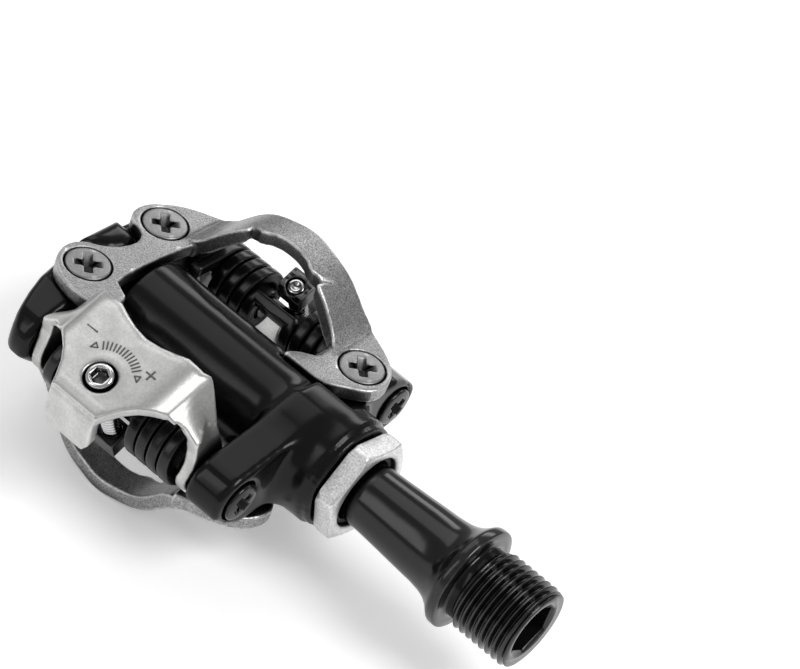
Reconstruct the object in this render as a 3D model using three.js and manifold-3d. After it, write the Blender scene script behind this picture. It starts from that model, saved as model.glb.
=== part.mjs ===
// A two-sided clipless bicycle pedal, left-hand one, built as it comes apart on a bench.
// Millimetres. +X runs along the axle towards the crank, +Y forward, +Z up.
// The origin is on the axle's axis, at the face of its flange that seats on the crank.
// Each side carries the same parts, turned half a turn about the axle.
import * as THREE from "three";
import { mergeVertices } from "three/addons/utils/BufferGeometryUtils.js";
import Module from "manifold-3d";

const wasm = await Module();
wasm.setup();

// ---- driving dimensions ----

const fit = 0.3; // gap left between pieces that touch

const thread = { radius: 7.14, end: 12.2, endRadius: 6.76, neckRadius: 6.3, neckEnd: 1.4 };
const socket = { acrossFlats: 8, depth: 8 };
const flange = { radius: 8.94, thickness: 1.2 };
const shaft = { radius: 6.0, noseRadius: 5.3, journalRadius: 4.95, waist: 4.0, tailRadius: 3.4, tailEnd: -71.5 };

const sleeve = { hexFront: -21.7, hexBack: -25.2, corner: 9.25, turn: 49.7, radius: 6.5, end: -38 };
const bush = { radius: 5.75, front: -27, end: -37.5 };
const cartridge = { radius: 6.5, bore: 6.8, front: -38.6, end: -69.2 };
const ball = { radius: 1.19, count: 12, pitchRadius: 4.72, rows: [-46.2, -64.2] };

const hull = { front: -25.6, bossRadius: 9.7, barrelRadius: 8.8, barrelEnd: -70, tail: -82 };
const arm = { pivotY: 18.2, pivotZ: 0.4, endRadius: 5.2, seatZ: 6.3 };
const innerArm = { near: -32, far: -38.8 };
const outerArm = { near: -72.9, far: -78.9 };

const middle = -56; // the binding's own centre line, along the axle
const plate = { top: 9.09, thickness: 2.5, wall: 7.45 };
const screws = [
  { name: "outer_front", x: -76.07, y: 8.5 },
  { name: "outer_rear", x: -75.95, y: -9.38 },
  { name: "inner_front", x: -35.97, y: 11.37 },
];
const screw = { headRadius: 3.7, headTop: 9.25, headHeight: 1.35, shankRadius: 1.9, end: 1.5 };

const claw = { thickness: 2.0, tilt: 23.7, y: -23.1, z: 12.8 };
const clawPivot = { v: -0.8, n: -14.1, radius: 4.3 }; // in the claw's own plane
const pin = { radius: 1.6, face: -31.2, headRadius: 3.3, headHeight: 2.0, end: -77.4 };
const spacer = { radius: 2.5, from: 3.1, to: 13.5 };
const spring = { wire: 1.1, coil: 4.1, pitch: 2.3, inner: 3.8, turns: 3.87, legEnd: 9.3 };
const bolt = { y: -28.15, z: 11.26, tilt: 27.3, headRadius: 2.2, headHeight: 1.7, radius: 1.55, length: 20.0 };
const nut = { near: 16.9, far: 20.2, halfWidth: 2.5, back: -2.6, front: 2.0 };

// ---- materials ----

const finish = (color, roughness, metalness) =>
  new THREE.MeshStandardMaterial({ color, roughness, metalness });
const blackSteel = () => finish(0x18191b, 0.28, 0.9);
const blackPaint = () => finish(0x141517, 0.3, 0.2);
const satinSteel = () => finish(0xb9b8b4, 0.42, 0.95);
const blastedSteel = () => finish(0x9a9a98, 0.55, 0.9);
const aluminium = () => finish(0xc6c6c6, 0.35, 0.95);
const brightSteel = () => finish(0xd8d8da, 0.15, 1.0);
const blackSpring = () => finish(0x1c1d20, 0.35, 0.8);
const rubber = () => finish(0x121212, 0.8, 0.0);
const darkPlastic = () => finish(0x2b2b2c, 0.6, 0.0);

// ---- making shapes ----

// A closed solid for cutting and joining, from any closed geometry.
function solidOf(geometry) {
  const bare = geometry.clone();
  bare.deleteAttribute("normal");
  bare.deleteAttribute("uv");
  const merged = mergeVertices(bare, 1e-4);
  const mesh = { numProp: 3, vertProperties: merged.attributes.position.array, triVerts: merged.index.array };
  return new wasm.Manifold(new wasm.Mesh(mesh));
}

function geometryOf(solid) {
  const mesh = solid.getMesh();
  const geometry = new THREE.BufferGeometry();
  geometry.setAttribute("position", new THREE.BufferAttribute(mesh.vertProperties, 3));
  geometry.setIndex(new THREE.BufferAttribute(mesh.triVerts, 1));
  geometry.computeVertexNormals();
  return geometry;
}

const joined = (solids) => solids.reduce((whole, next) => whole.add(next));
const without = (solid, cutters) => cutters.reduce((left, cutter) => left.subtract(cutter), solid);

// A turned solid about the axle's axis, from [x, radius] points that run from low x to high x.
function turned(profile, segments = 32) {
  const points = profile.map(([x, radius]) => new THREE.Vector2(radius, x));
  return solidOf(new THREE.LatheGeometry(points, segments).rotateZ(-Math.PI / 2));
}

// A round bar along X between two places.
function bar(from, to, radius, y = 0, z = 0, segments = 24) {
  const low = Math.min(from, to);
  const high = Math.max(from, to);
  return turned([[low, 0], [low, radius], [high, radius], [high, 0]], segments).translate([0, y, z]);
}

const shapeOf = (points) => new THREE.Shape(points.map(([a, b]) => new THREE.Vector2(a, b)));

// An outline in Y and Z, carried along X between two places.
function slabX(outline, from, to, bevel) {
  const depth = Math.abs(to - from);
  const options = bevel ? { bevelThickness: bevel, bevelSize: bevel, bevelOffset: -bevel, bevelSegments: 2 }
    : { bevelEnabled: false };
  const geometry = new THREE.ExtrudeGeometry(shapeOf(outline), { depth, ...options });
  const turn = new THREE.Matrix4().makeBasis(
    new THREE.Vector3(0, 1, 0), new THREE.Vector3(0, 0, 1), new THREE.Vector3(1, 0, 0));
  return solidOf(geometry.applyMatrix4(turn).translate(Math.min(from, to), 0, 0));
}

// An outline in X and Y, carried along Z between two places.
function slabZ(outline, from, to) {
  const depth = Math.abs(to - from);
  const geometry = new THREE.ExtrudeGeometry(shapeOf(outline), { depth, bevelEnabled: false });
  return solidOf(geometry.translate(0, 0, Math.min(from, to)));
}

// The same part on the other side of the pedal: half a turn about the axle.
const otherSide = (solid) => solid.rotate([180, 0, 0]);

const pedal = new THREE.Group();

function place(name, solid, material) {
  const mesh = new THREE.Mesh(geometryOf(solid), material);
  mesh.name = name;
  pedal.add(mesh);
}

// ---- axle: the spindle, its cone and lock nut ----

function spindle() {
  const blank = turned([
    [shaft.tailEnd, 0], [shaft.tailEnd, shaft.tailRadius - 0.4], [shaft.tailEnd + 0.4, shaft.tailRadius],
    [-60, shaft.tailRadius], [-58, shaft.waist], [-49.2, shaft.waist],
    [-47.6, 3.3], [-45.9, 3.3], [-44.2, shaft.journalRadius], [-23.0, shaft.journalRadius],
    [-21.5, shaft.noseRadius], [-10, shaft.radius], [-5.5, 6.4], [-3.2, 7.3],
    [-flange.thickness - 0.7, flange.radius - 0.5], [-flange.thickness, flange.radius], [-0.3, flange.radius],
    [0, flange.radius - 0.3], [0, thread.neckRadius], [thread.neckEnd, thread.neckRadius],
    [thread.neckEnd + 0.7, thread.radius], [thread.end - 0.6, thread.radius],
    [thread.end, thread.endRadius], [thread.end, 0],
  ]);
  const across = socket.acrossFlats / 2 / Math.cos(Math.PI / 6);
  const key = turned([[thread.end - socket.depth, 0], [thread.end - socket.depth, across],
    [thread.end + 1, across], [thread.end + 1, 0]], 6);
  return blank.subtract(key);
}

place("axle", spindle(), blackSteel());

// ---- bearing cartridge, which fills the barrel ----

function ring(from, to, inner, outer, segments = 32) {
  return turned([[from, inner], [from, outer], [to, outer], [to, inner], [from, inner]], segments);
}

const hexSleeve = () => {
  const { hexFront, hexBack, corner, turn, radius, end } = sleeve;
  const hex = turned([[hexBack, 0], [hexBack, corner], [hexFront, corner], [hexFront, 0]], 6).rotate([turn, 0, 0]);
  const chamfer = turned([[hexBack - 1, 0], [hexBack - 1, corner + 2], [hexFront - 0.8, corner + 0.1],
    [hexFront + 0.1, corner - 0.8], [hexFront + 0.1, 0]]);
  const tube = bar(end, hexBack + 0.1, radius, 0, 0, 32);
  const bore = turned([[end - 1, 0], [end - 1, bush.radius + 0.05], [bush.front + 0.1, bush.radius + 0.05],
    [bush.front + 0.3, 5.4], [-25.0, 5.4], [-24.9, 6.5], [hexFront + 1, 6.5], [hexFront + 1, 0]]);
  return hex.intersect(chamfer).add(tube).subtract(bore);
};

place("axle_lock_sleeve", hexSleeve(), aluminium());
place("dust_seal", ring(-24.6, -22.6, 5.6, 6.3), rubber());
place("plain_bush", ring(bush.end, bush.front, shaft.journalRadius + 0.05, bush.radius), darkPlastic());

// The tube between the two ball rows has a curved cup in each end.
const cup = (x, side) => [[x - side * 1.6, 4.4], [x - side * 1.3, 5.2], [x - side * 0.6, 5.85], [x + side * 0.6, 6.0]];
const bearingTube = () => turned([
  [cartridge.end, 6.05], [cartridge.end, cartridge.radius], [cartridge.front, cartridge.radius],
  [cartridge.front, 6.05], ...cup(ball.rows[0], 1).reverse(), ...cup(ball.rows[1], -1), [cartridge.end, 6.05]]);
place("bearing_tube", bearingTube(), brightSteel());

ball.rows.forEach((x, row) => {
  for (let i = 0; i < ball.count; i += 1) {
    const angle = (i / ball.count) * Math.PI * 2;
    const geometry = new THREE.IcosahedronGeometry(ball.radius, 1);
    const sphere = solidOf(geometry)
      .translate([x, Math.cos(angle) * ball.pitchRadius, Math.sin(angle) * ball.pitchRadius]);
    place(`ball_${row ? "outer" : "inner"}_${String(i + 1).padStart(2, "0")}`, sphere, brightSteel());
  }
});

// The outer row runs on a cone, held by a washer and a hexagonal lock nut.
place("bearing_cone", turned([[-68.2, 3.45], [-68.2, 5.2], [-66.3, 5.2], [-64.8, 3.45], [-68.2, 3.45]]), blackSteel());
place("cone_washer", ring(-68.6, -68.25, 3.45, 4.9), brightSteel());
const coneNut = turned([[-71.2, 0], [-71.2, 4.7], [-68.65, 4.7], [-68.65, 0]], 6).subtract(bar(-72, -68, 3.45, 0, 0, 32));
place("cone_lock_nut", coneNut, blackSteel());

// ---- pedal body ----

function arc(cy, cz, radius, from, to, steps) {
  const points = [];
  for (let i = 0; i <= steps; i += 1) {
    const angle = THREE.MathUtils.degToRad(from + ((to - from) * i) / steps);
    points.push([cy + radius * Math.cos(angle), cz + radius * Math.sin(angle)]);
  }
  return points;
}

// A closed outline from half of it: the rest is the same, turned half a turn.
const twice = (half) => [...half, ...half.map(([y, z]) => [-y, -z])];

function pedalBody() {
  const { pivotY, pivotZ, seatZ } = arm;
  const innerOutline = twice([
    ...arc(pivotY, pivotZ, arm.endRadius, -75, 20, 6), [20.3, 4.4], [16.9, seatZ], [2.5, seatZ],
    [-2.5, 8.6], [-6.5, 7.2]]);
  const outerOutline = twice([
    ...arc(pivotY, pivotZ, arm.endRadius + 0.2, -78, 20, 6), [20.6, 4.4], [17.4, seatZ], [-14.8, seatZ]]);
  const barrel = turned([
    [hull.barrelEnd, 0], [hull.barrelEnd, hull.barrelRadius - 0.5], [hull.barrelEnd + 0.5, hull.barrelRadius],
    [innerArm.far - 3.5, hull.barrelRadius], [innerArm.far, 9.3], [innerArm.near + 0.5, hull.bossRadius],
    [hull.front - 1.6, hull.bossRadius], [hull.front - 1.2, hull.bossRadius - 0.5],
    [hull.front, hull.bossRadius - 0.5], [hull.front, 0]], 40);
  const core = bar(hull.barrelEnd + 1, outerArm.near - 1, 6.2);
  const inner = slabX(innerOutline, innerArm.near, innerArm.far);
  // The outer end swells to its middle and is rounded over, with a raised step between the screw lobes.
  const swell = slabZ([[outerArm.near, 26], [-75.6, 26], [outerArm.far, 19.4], [-80.7, 13], [hull.tail, 5],
    [hull.tail, -5], [-80.7, -13], [outerArm.far, -19.4], [-75.6, -26], [outerArm.near, -26]], -12, 12);
  const outer = slabX(outerOutline, outerArm.near + 4, hull.tail + 1.6, 1.6).intersect(swell);
  const step = slabZ([[hull.tail, -5], [-79.4, -4.7], [-77.1, -2.4], [-76.0, 0.6], [-76.6, 3.0], [-77.9, 3.8],
    [hull.tail, 3.9]], 4, 8.4);
  const whole = joined([barrel, core, inner, outer, step, otherSide(step)]);

  const cuts = [
    bar(hull.front + 1, cartridge.end - 0.4, cartridge.bore, 0, 0, 32),
    bar(cartridge.end, -72.2, 5.2)];
  for (const side of [1, -1]) {
    const y = side * pivotY;
    const z = side * pivotZ;
    cuts.push(bar(pin.end - 0.4, pin.face, pin.radius + 0.1, y, z));
    cuts.push(bar(pin.face - pin.headHeight - fit, pin.face + 1, pin.headRadius + fit, y, z));
  }
  const pocket = slabZ([[-30.4, 2.5], [-45.8, 2.5], [-45.8, 9.8], [-30.4, 9.8]], seatZ, 12)
    .subtract(bar(-46, -30, plate.wall, 0, 0, 32));
  const holes = screws.map(({ x, y }) => upright(screw.end - 0.4, 12, screw.shankRadius + 0.1, x, y, 12));
  const top = [pocket, ...holes];
  return without(whole, [...cuts, ...top, ...top.map(otherSide)]);
}

// A round bar along Z.
function upright(from, to, radius, x = 0, y = 0, segments = 24) {
  return bar(from, to, radius, 0, 0, segments).rotate([0, -90, 0]).translate([x, y, 0]);
}

place("pedal_body", pedalBody(), blackPaint());

// ---- front binding: a bent plate under three screws, with a raised loop that hooks the cleat ----

// A strip of even thickness under an open line of points.
function strip(points, thickness) {
  const under = points.map(([a, b], i) => {
    const [a0, b0] = points[Math.max(i - 1, 0)];
    const [a1, b1] = points[Math.min(i + 1, points.length - 1)];
    const length = Math.hypot(a1 - a0, b1 - b0);
    return [a + ((b1 - b0) / length) * thickness, b - ((a1 - a0) / length) * thickness];
  });
  return [...points, ...under.reverse()];
}

const mirrored = (half) => [...half.map(([a, b]) => [-a, b]).reverse(), ...half.filter(([a]) => a > 0)];

function frontBinding() {
  const under = plate.top - plate.thickness;
  const outerPlate = [
    [-70.4, 18.3], [-71.6, 17.7], [-75.3, 15.8], [-78, 13.8], [-79.4, 12], [-81.2, 9], [-81.2, 6.2],
    [-79.6, 4.3], [-77.6, 4.2], [-76, 3.2], [-75.3, 0.6], [-76.5, -2.7], [-78.5, -4.9], [-79.7, -5.5],
    [-81.1, -8], [-80.9, -10.6], [-79.3, -13.1], [-77.7, -14.6], [-70.7, -15.7], [-67.4, -14.6],
    [-67, -9.6], [-70.9, -8.1], [-70.3, 8.5], [-69.6, 8.8], [-69.6, 18.4]];
  const innerPlate = [
    [-42.6, 20], [-40.8, 19.2], [-37.5, 18], [-34.6, 16.5], [-32.2, 14.6], [-30.9, 11.5], [-31.3, 9],
    [-32.3, 7.4], [-34, 5.9], [-35.8, 4.3], [-37, 3.2], [-43.8, 3.3], [-45.4, 2.8], [-44.8, 4.4],
    [-43.3, 6], [-41.4, 7], [-41.8, 9.6], [-42.6, 11.3]];
  const loopLine = mirrored([
    [0, 17.8], [4, 17.3], [7, 16.4], [9, 15.2], [11, 13.3], [14.4, plate.top], [16.4, plate.top]]);
  const loopPlan = [
    [-16, 17.0], [-14.4, 18.3], [-11, 18.5], [-7, 18.9], [-4, 19], [0, 19.6], [4, 19], [7, 18.9],
    [11, 19.2], [14.4, 20], [16, 18.4], [16, 9.5], [14.4, 10], [13, 11.4], [8, 11.6], [7.2, 13], [5, 12.6],
    [2.75, 13.9], [-2.75, 13.9], [-5, 12.6], [-7.2, 13], [-8, 11.2], [-13, 9.3], [-14.4, 8.7], [-16, 8.6]];
  const arch = slabX(strip(loopLine, plate.thickness), 8, 21).rotate([0, 0, -90]).scale([1, -1, 1]);
  const loop = arch.intersect(slabZ(loopPlan, 0, 20)).translate([middle, 0, 0]);
  const flat = joined([slabZ(outerPlate, under, plate.top), slabZ(innerPlate, under, plate.top), loop]);
  const holes = screws.flatMap(({ x, y }) => [
    upright(under - 1, plate.top + 1, screw.shankRadius + 0.3, x, y, 16),
    upright(screw.headTop - screw.headHeight - fit, plate.top + 1, screw.headRadius + 0.2, x, y, 24)]);
  const relief = slabX([[0, 5], [0, 8.2], [2.4, 7.65], [4.8, 6.3], [4.8, 5]], -46, -30);
  return without(flat, [relief, ...holes]);
}

const bindingTop = frontBinding();
place("front_binding_top", bindingTop, blastedSteel());
place("front_binding_bottom", otherSide(bindingTop), blastedSteel());

// A countersunk cross for a screwdriver, as deep as it is told, with its mouth at height zero.
function crossRecess(reach, depth) {
  const blade = (long, wide) => slabX([[-long, 1], [-long, 0], [-wide, -depth], [wide, -depth], [long, 0], [long, 1]],
    -0.45, 0.45);
  return blade(reach, 0.5).add(blade(reach, 0.5).rotate([0, 0, 90]));
}

for (const { name, x, y } of screws) {
  const head = screw.headTop - screw.headHeight;
  const blank = turned([[screw.end, 0], [screw.end, screw.shankRadius], [head, screw.shankRadius],
    [head, screw.headRadius], [screw.headTop - 0.3, screw.headRadius], [screw.headTop, screw.headRadius - 0.4],
    [screw.headTop, 0]], 20).rotate([0, -90, 0]);
  const made = blank.subtract(crossRecess(2.3, 1.5).rotate([0, 0, 45]).translate([0, 0, screw.headTop]))
    .translate([x, y, 0]);
  place(`screw_${name}_top`, made, blastedSteel());
  place(`screw_${name}_bottom`, otherSide(made), blastedSteel());
}

// ---- rear claw: a bent plate that swings back to let the cleat in ----

// The claw is made lying level, with Y along its slope and Z up from it, and then tilted.
const tilted = (solid) => solid.rotate([claw.tilt, 0, 0]).translate([middle, claw.y, claw.z]);

// Things on the tension bolt are made with the top of its head at height zero.
const onBolt = (solid) => solid.rotate([bolt.tilt, 0, 0]).translate([middle, bolt.y, bolt.z]);

function rearClaw() {
  const section = mirrored([
    [0, 0.3], [6.7, 0], [9.3, -0.4], [11.3, -1.5], [14.6, -6.2], [16.6, -9.4], [16.6, -21]]);
  const shell = slabX(strip(section, claw.thickness), -16, 10).rotate([0, 0, -90]).scale([1, -1, 1]);
  const side = slabX([
    [9, -2.2], [7.1, -2.2], [4.0, -8], [3.8, -10], ...arc(clawPivot.v, clawPivot.n, clawPivot.radius, 0, -200, 10),
    [-3.1, -10.2], [-2, -8], [-1.5, -5.9], [-1.3, -3.6], [-2.5, -2.6], [-16, -2.6], [-16, 3], [9, 3]], -20, 20);
  const plan = slabZ([
    [-18, 9], [-18, -20], [-13, -20], [-13, -2.5], [-11.35, -2.5], [-9.7, -3.7], [-7.95, -5.2], [-6, -7.6], [-4.6, -10.55],
    [4.6, -10.55], [6, -7.6], [7.95, -5.2], [9.7, -3.7], [11.35, -2.5], [13, -2.5], [13, -20], [18, -20], [18, 9],
    [11.2, 7.1], [10, 6.4], [7, 6.4], [5, 5.6], [0, 4.5], [-5, 5.6], [-7, 6.4], [-10, 6.4], [-11.2, 7.1]], -30, 5);
  const tongue = slabX(strip([
    [-13.5, -7.1], [-12.3, -3.0], [-11.9, -1.4], [-11.2, -0.2], [-10.2, 0.3], [-9.4, 0.3]], claw.thickness), -4.6, 4.6);
  const tip = slabX([[-20, 5], [-20, -10], [-9, -10], [-9, 5]], -20, 20);
  const round = slabZ([
    [-4.6, -9], [4.6, -9], [4.6, -12.6], [3.4, -14.2], [-3.4, -14.2], [-4.6, -12.6]], -10, 5);
  const bent = shell.intersect(side).intersect(plan).add(tongue.intersect(tip).intersect(round));
  const seat = turned([[-3.6, 0], [-3.6, 3.6], [-1.2, 4.3], [-1.2, 0]], 24).rotate([0, -90, 0]);
  const bore = upright(-6, 3, bolt.radius + 0.08).add(upright(-bolt.headHeight - fit, 3, bolt.headRadius + 0.4));
  const pivot = bar(-80, -30, pin.radius + 0.08, -arm.pivotY, -arm.pivotZ);
  return tilted(bent).add(onBolt(seat)).subtract(onBolt(bore)).subtract(pivot);
}

const clawTop = rearClaw();
place("rear_claw_top", clawTop, satinSteel());
place("rear_claw_bottom", otherSide(clawTop), satinSteel());

// The pin a claw swings on goes in from the crank side and ends blind in the outer arm.
function pivotPin() {
  const face = pin.face;
  const blank = turned([[pin.end, 0], [pin.end, pin.radius], [face - pin.headHeight, pin.radius],
    [face - pin.headHeight, pin.headRadius], [face - 0.3, pin.headRadius], [face, pin.headRadius - 0.4], [face, 0]]);
  const cross = crossRecess(2.1, 1.4).rotate([0, 90, 0]).translate([face, 0, 0]);
  return blank.subtract(cross).translate([0, -arm.pivotY, -arm.pivotZ]);
}

const pinTop = pivotPin();
place("pivot_pin_top", pinTop, blackSteel());
place("pivot_pin_bottom", otherSide(pinTop), blackSteel());

for (const [name, side] of [["inner", 1], ["outer", -1]]) {
  const ends = [middle + side * spacer.from, middle + side * spacer.to];
  const tube = ring(Math.min(...ends), Math.max(...ends), pin.radius + 0.08, spacer.radius, 24)
    .translate([0, -arm.pivotY, -arm.pivotZ]);
  place(`spacer_${name}_top`, tube, blackSteel());
  place(`spacer_${name}_bottom`, otherSide(tube), blackSteel());
}

// One wire: a leg under the barrel, a coil, a bridge across the tension nut, a coil, a leg.
function torsionSpring() {
  const half = [new THREE.Vector3(0, 0, 0)];
  const start = -0.747; // where the coil leaves the bridge, as an angle about the pin
  const steps = Math.round(spring.turns * 10);
  const at = (angle, x) => new THREE.Vector3(x, Math.cos(angle) * spring.coil, Math.sin(angle) * spring.coil);
  half[0].copy(at(start, 0));
  for (let i = 0; i <= steps; i += 1) {
    const turn = (i / steps) * spring.turns;
    half.push(at(start + turn * Math.PI * 2, spring.inner + turn * spring.pitch));
  }
  const last = half[half.length - 1];
  half.push(new THREE.Vector3(last.x, last.y + 4, last.z), new THREE.Vector3(last.x, spring.legEnd, last.z));
  const other = half.slice(1).map(({ x, y, z }) => new THREE.Vector3(-x, y, z)).reverse();
  const path = new THREE.CurvePath();
  const points = [...other, ...half];
  const curve = new THREE.CatmullRomCurve3(points, false, "centripetal");
  path.add(curve);
  const wire = shapeOf(arc(0, 0, spring.wire, 0, 300, 5));
  const geometry = new THREE.ExtrudeGeometry(wire, { steps: points.length, extrudePath: curve, bevelEnabled: false });
  return solidOf(geometry).translate([middle, -arm.pivotY, -arm.pivotZ]);
}

const springTop = torsionSpring();
place("torsion_spring_top", springTop, blackSpring());
place("torsion_spring_bottom", otherSide(springTop), blackSpring());

// ---- tension bolt and its nut ----

function tensionBolt() {
  const { headRadius, headHeight, radius, length } = bolt;
  const blank = turned([[-length, 0], [-length, radius - 0.3], [0.3 - length, radius], [-headHeight, radius],
    [-headHeight, headRadius], [-0.4, headRadius], [0, headRadius - 0.4], [0, 0]]).rotate([0, -90, 0]);
  const key = bar(-1.3, 1, 1.73, 0, 0, 6).rotate([0, -90, 0]);
  return onBolt(blank.subtract(key));
}

function tensionNut() {
  const { near, far, halfWidth, back, front } = nut;
  const block = slabX([[back, -far], [front - 0.8, -far], [front, 0.8 - far], [front, -near], [back, -near]],
    -halfWidth, halfWidth);
  return onBolt(block.subtract(upright(-30, 0, bolt.radius + 0.06)));
}

const boltTop = tensionBolt();
const nutTop = tensionNut();
place("tension_bolt_top", boltTop, brightSteel());
place("tension_bolt_bottom", otherSide(boltTop), brightSteel());
place("tension_nut_top", nutTop, blackSteel());
place("tension_nut_bottom", otherSide(nutTop), blackSteel());

export default pedal;
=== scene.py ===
# Looks for a two-sided clipless bicycle pedal, built over its engineering model.
# Shapes are worked out in millimetres and put into the meshes in metres.
import math
import bpy
import numpy as np
from mathutils import Matrix, Vector


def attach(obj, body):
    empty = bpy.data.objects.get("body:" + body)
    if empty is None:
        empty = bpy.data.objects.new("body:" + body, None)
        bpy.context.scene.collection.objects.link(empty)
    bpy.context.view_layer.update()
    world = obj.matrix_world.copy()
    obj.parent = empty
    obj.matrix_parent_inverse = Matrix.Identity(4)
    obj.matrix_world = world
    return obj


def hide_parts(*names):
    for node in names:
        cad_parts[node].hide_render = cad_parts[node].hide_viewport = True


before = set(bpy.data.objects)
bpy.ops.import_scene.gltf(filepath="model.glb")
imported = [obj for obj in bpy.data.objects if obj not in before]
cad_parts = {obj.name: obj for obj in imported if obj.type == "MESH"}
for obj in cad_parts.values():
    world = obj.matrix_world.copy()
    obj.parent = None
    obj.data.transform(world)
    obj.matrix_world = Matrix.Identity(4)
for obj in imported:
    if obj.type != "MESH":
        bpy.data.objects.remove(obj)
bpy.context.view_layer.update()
sides = ("top", "bottom")
middleX = -56.0  # centre line of the two bindings, along the axle
print("frame loaded:", len(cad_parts), "nodes")


# Turning arrays into meshes.
def newMesh(name, points, faces, smooth=True):
    mesh = bpy.data.meshes.new(name)
    mesh.from_pydata((np.asarray(points, float) * 0.001).tolist(), [], [list(f) for f in faces])
    mesh.validate()
    mesh.polygons.foreach_set("use_smooth", np.full(len(mesh.polygons), smooth))
    mesh.update()
    thing = bpy.data.objects.new(name, mesh)
    bpy.context.scene.collection.objects.link(thing)
    return thing


# The other face of the pedal: the same points, turned half a turn about the axle.
def turnedOver(points):
    return np.asarray(points) * (1, -1, -1)


# A grid of points, columns round a closed loop, rows open or closed; the callers close open rows with flat
# caps.
def gridFaces(rows, columns, closed=False):
    i, j = np.meshgrid(np.arange(rows if closed else rows - 1), np.arange(columns), indexing="ij")
    a, b = (i % rows) * columns, ((i + 1) % rows) * columns
    n = (j + 1) % columns
    return np.stack([a + j, a + n, b + n, b + j], -1).reshape(-1, 4)


def latheAlongX(profile, columns=64, closed=False, radiusOf=None):
    # Each point is x from the profile, and the profile's radius turned through a whole circle about X.
    profile = np.asarray(profile, float)
    angle = np.linspace(0, 2 * math.pi, columns, endpoint=False)
    x = np.repeat(profile[:, :1], columns, 1)
    radius = np.repeat(profile[:, 1:2], columns, 1)
    if radiusOf is not None:
        radius = radiusOf(x, radius, angle[None, :])
    points = np.stack([x, radius * np.cos(angle), radius * np.sin(angle)], -1).reshape(-1, 3)
    faces = gridFaces(len(profile), columns, closed).tolist()
    if not closed:
        last = (len(profile) - 1) * columns
        faces.append(list(range(columns - 1, -1, -1)))
        faces.append(list(range(last, last + columns)))
    return points, faces


# A line of points rounded by cutting its corners, ends kept.
def softened(points, times=2, closed=False):
    line = np.asarray(points, float)
    for _ in range(times):
        ahead = np.roll(line, -1, 0) if closed else line[1:]
        here = line if closed else line[:-1]
        cut = np.stack([here * 0.75 + ahead * 0.25, here * 0.25 + ahead * 0.75], 1).reshape(-1, line.shape[1])
        line = cut if closed else np.vstack([line[:1], cut[1:-1], line[-1:]])
    return line


# Solids from a distance field.
# A cast or bent piece's surface is where a distance field is zero: negative inside, positive outside.

def toPolygon(u, v, points):
    # Distance from (u, v) to the nearest edge of the outline, negative where a ray from it crosses the outline
    # an odd number of times.
    points = np.asarray(points, float)
    best = np.full(np.broadcast(u, v).shape, 1e9)
    inside = np.zeros(best.shape, bool)
    for (a, b), (c, d) in zip(points, np.roll(points, -1, 0)):
        eu, ev = c - a, d - b
        t = np.clip(((u - a) * eu + (v - b) * ev) / (eu * eu + ev * ev), 0, 1)
        best = np.minimum(best, (u - a - t * eu) ** 2 + (v - b - t * ev) ** 2)
        if ev != 0:
            inside ^= ((v >= b) != (v >= d)) & (u < a + (v - b) * eu / ev)
    best = np.sqrt(best)
    return np.where(inside, -best, best)


def toLine(u, v, points):
    # Distance from (u, v) to the nearest stretch of an open line.
    points = np.asarray(points, float)
    best = np.full(np.broadcast(u, v).shape, 1e9)
    for (a, b), (c, d) in zip(points[:-1], points[1:]):
        eu, ev = c - a, d - b
        t = np.clip(((u - a) * eu + (v - b) * ev) / (eu * eu + ev * ev), 0, 1)
        best = np.minimum(best, (u - a - t * eu) ** 2 + (v - b - t * ev) ** 2)
    return np.sqrt(best)


def crossed(a, b, edge):
    # Where two distances are both negative, with the edge between them rounded to a radius.
    a, b = a + edge, b + edge
    return np.hypot(np.maximum(a, 0), np.maximum(b, 0)) + np.minimum(np.maximum(a, b), 0) - edge


def between(u, low, high):
    return np.abs(u - (low + high) / 2) - abs(high - low) / 2


def melted(a, b, size):
    # The nearer of two distances, blended over a fillet of that size where they meet.
    h = np.clip(0.5 + 0.5 * (b - a) / size, 0, 1)
    return b + (a - b) * h - size * h * (1 - h)


def carved(a, b, edge=0.15):
    return -melted(-a, b, edge)


def barX(x, y, z, low, high, radius, at=(0, 0), edge=0.3):
    return crossed(np.hypot(y - at[0], z - at[1]) - radius, between(x, low, high), edge)


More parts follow.
